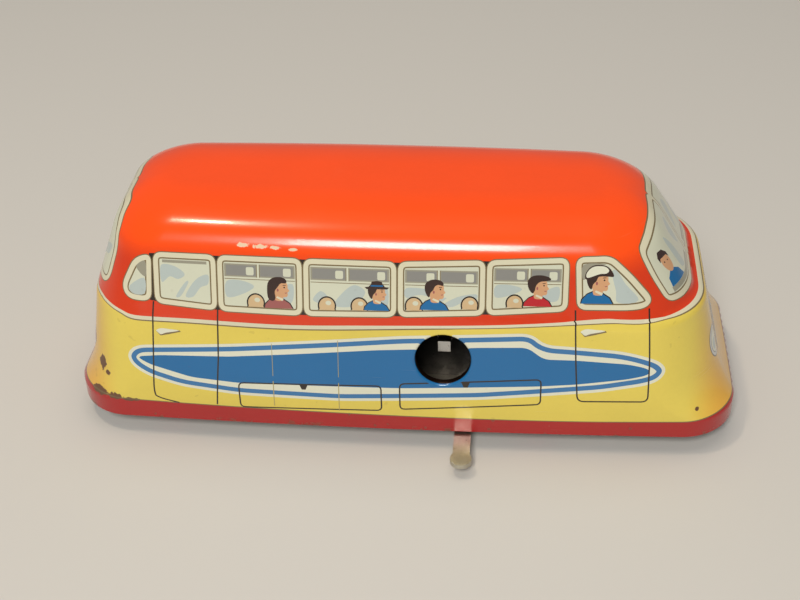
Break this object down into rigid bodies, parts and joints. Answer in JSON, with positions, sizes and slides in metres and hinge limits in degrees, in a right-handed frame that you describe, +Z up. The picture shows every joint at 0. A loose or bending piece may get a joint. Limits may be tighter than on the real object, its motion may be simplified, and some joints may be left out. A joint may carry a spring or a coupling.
{
  "type": "toy bus",
  "caption": "Clockwork tin toy coach: pressed printed shell over a base plate with road wheels, spring motor, side keyhole and stop lever.",
  "frame": {"origin": "on the table under the middle of the shell's length and width", "axes": "+X to the front of the coach, +Y to its left, +Z up"},
  "size_m": [0.12, 0.0548, 0.0426],
  "materials": {
    "printed_tin": "gloss litho print over tinplate, worn at the edges",
    "base_tin": "dull lacquered tinplate",
    "motor_steel": "bright rolled steel strip",
    "shaft_steel": "turned bright steel",
    "gear_brass": "stamped brass",
    "spring_steel": "blued spring steel",
    "wheel_tin": "dark red lacquer over pressed tin",
    "lever_tin": "bare tinplate, a little yellowed"
  },
  "bodies": {
    "root": {"body_shell": "printed_tin", "bent_tabs": "printed_tin", "base_plate": "base_tin", "right_motor_plate": "motor_steel", "left_motor_plate": "motor_steel", "motor_pillars": "shaft_steel", "mainspring": "spring_steel", "front_bracket": "motor_steel", "bracket_rivets": "shaft_steel", "lever_rivet": "shaft_steel"},
    "rear_axle_set": {"rear_axle": "shaft_steel", "axle_pinion": "gear_brass", "rear_right_wheel": "wheel_tin", "rear_left_wheel": "wheel_tin", "rear_spacers": "shaft_steel"},
    "second_set": {"second_arbor": "shaft_steel", "second_wheel": "gear_brass", "second_pinion": "gear_brass"},
    "great_wheel_set": {"great_wheel": "gear_brass"},
    "winding_set": {"winding_arbor": "shaft_steel", "arbor_collars": "shaft_steel", "click_washer": "spring_steel"},
    "front_axle_set": {"front_axle": "shaft_steel", "front_right_wheel": "wheel_tin", "front_left_wheel": "wheel_tin", "front_spacers": "shaft_steel"},
    "lever_set": {"stop_lever": "lever_tin"}
  },
  "joints": [
    {"name": "rear_axle_spin", "type": "hinge", "parent": "root", "child": "rear_axle_set", "pos_m": [-0.02008, 0, 0.0075], "axis": [0, 1, 0], "continuous": true},
    {"name": "second_spin", "type": "hinge", "parent": "root", "child": "second_set", "pos_m": [-0.00819, 0, 0.01836], "axis": [0, 1, 0], "continuous": true},
    {"name": "great_wheel_spin", "type": "hinge", "parent": "root", "child": "great_wheel_set", "pos_m": [0.0079, 0, 0.0188], "axis": [0, 1, 0], "continuous": true},
    {"name": "winding_turn", "type": "hinge", "parent": "great_wheel_set", "child": "winding_set", "pos_m": [0.0079, 0, 0.0188], "axis": [0, 1, 0], "range_deg": [-1800, 0]},
    {"name": "front_axle_spin", "type": "hinge", "parent": "root", "child": "front_axle_set", "pos_m": [0.036, 0, 0.0075], "axis": [0, 1, 0], "continuous": true},
    {"name": "lever_swing", "type": "hinge", "parent": "root", "child": "lever_set", "pos_m": [0.0114, -0.014, 0], "axis": [0, 0, -1], "range_deg": [0, 14]}
  ],
  "couplings": [
    {"joint": "second_spin", "follows": "rear_axle_spin", "ratio": -0.27778},
    {"joint": "great_wheel_spin", "follows": "rear_axle_spin", "ratio": 0.07716}
  ]
}
